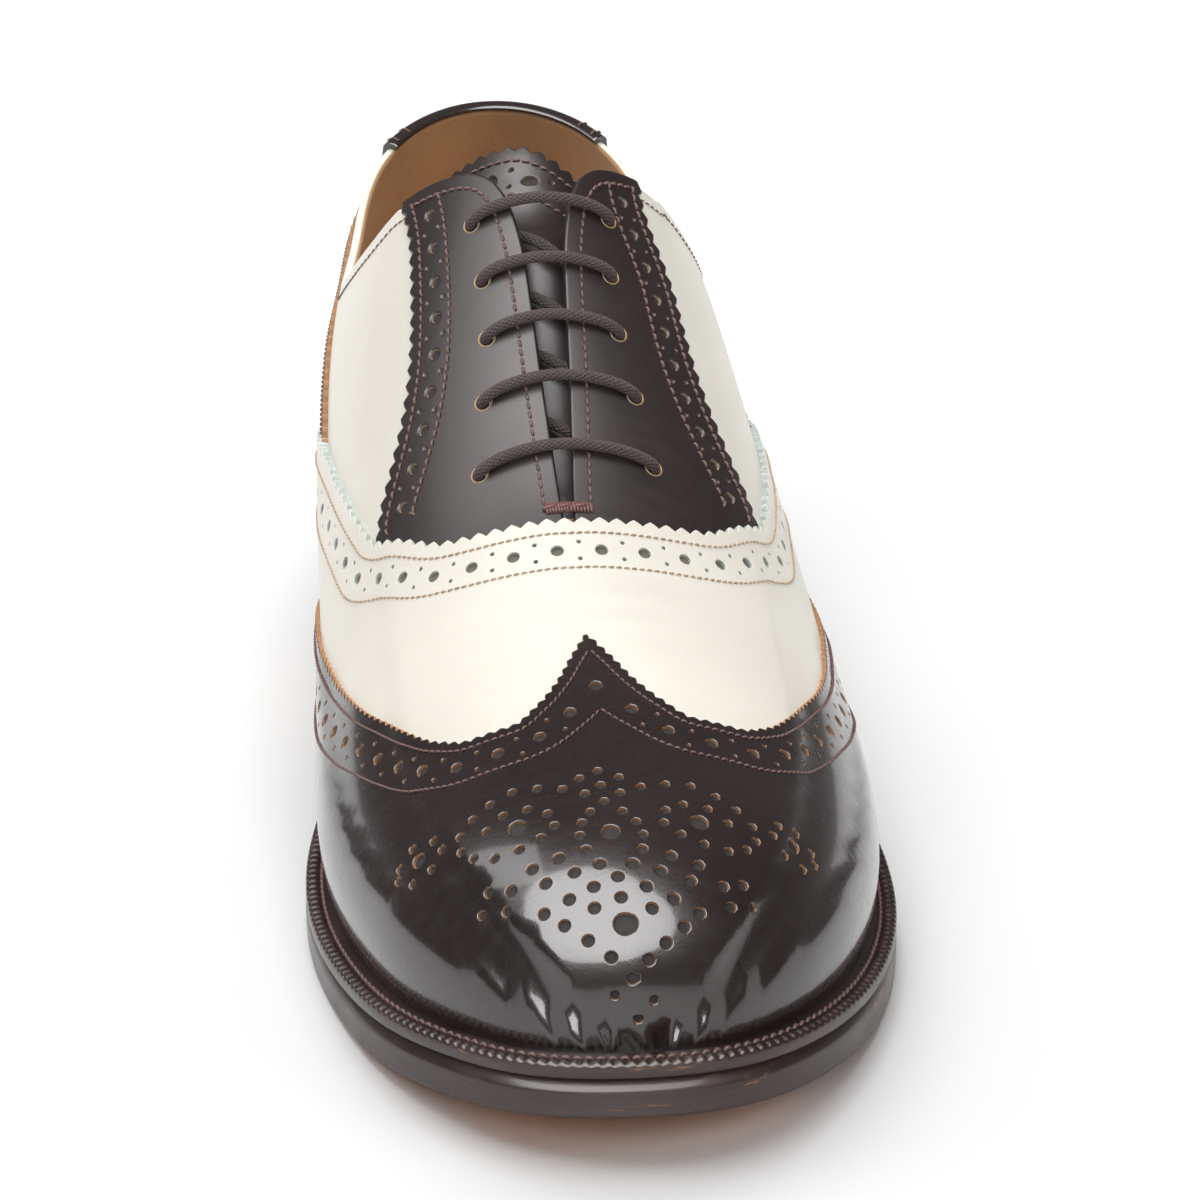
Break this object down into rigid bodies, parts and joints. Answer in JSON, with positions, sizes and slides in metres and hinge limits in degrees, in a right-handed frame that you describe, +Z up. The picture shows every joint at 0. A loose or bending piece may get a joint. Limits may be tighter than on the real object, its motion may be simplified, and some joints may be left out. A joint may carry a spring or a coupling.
{
  "type": "spectator shoe",
  "caption": "Low laced leather dress shoe with a hollow lasted upper, dark wing cap, facings and counter on cream panels, welted leather sole and stacked heel.",
  "frame": {"origin": "middle of the heel's tread, on the floor", "axes": "+Z up; the toe points to -Y; +X is the outer (little toe) side of the left foot"},
  "size_m": [0.1112, 0.2996, 0.1229],
  "materials": {
    "cream_leather": "smooth calf, satin",
    "dark_leather": "polished calf, glossy",
    "sole_leather": "burnished edge, glossy",
    "lining_leather": "natural lining leather, matt",
    "lace_cord": "round waxed cotton, matt",
    "heel_rubber": "matt"
  },
  "bodies": {
    "root": {"upper": "cream_leather", "vamp": "cream_leather", "wing_cap": "dark_leather", "facing_outer": "dark_leather", "facing_inner": "dark_leather", "counter": "dark_leather", "tongue": "dark_leather", "lace": "lace_cord", "insole": "lining_leather", "welt": "sole_leather", "outsole": "sole_leather", "heel_lift_1": "sole_leather", "heel_lift_2": "sole_leather", "heel_lift_3": "sole_leather", "heel_top_piece": "heel_rubber"}
  },
  "joints": []
}
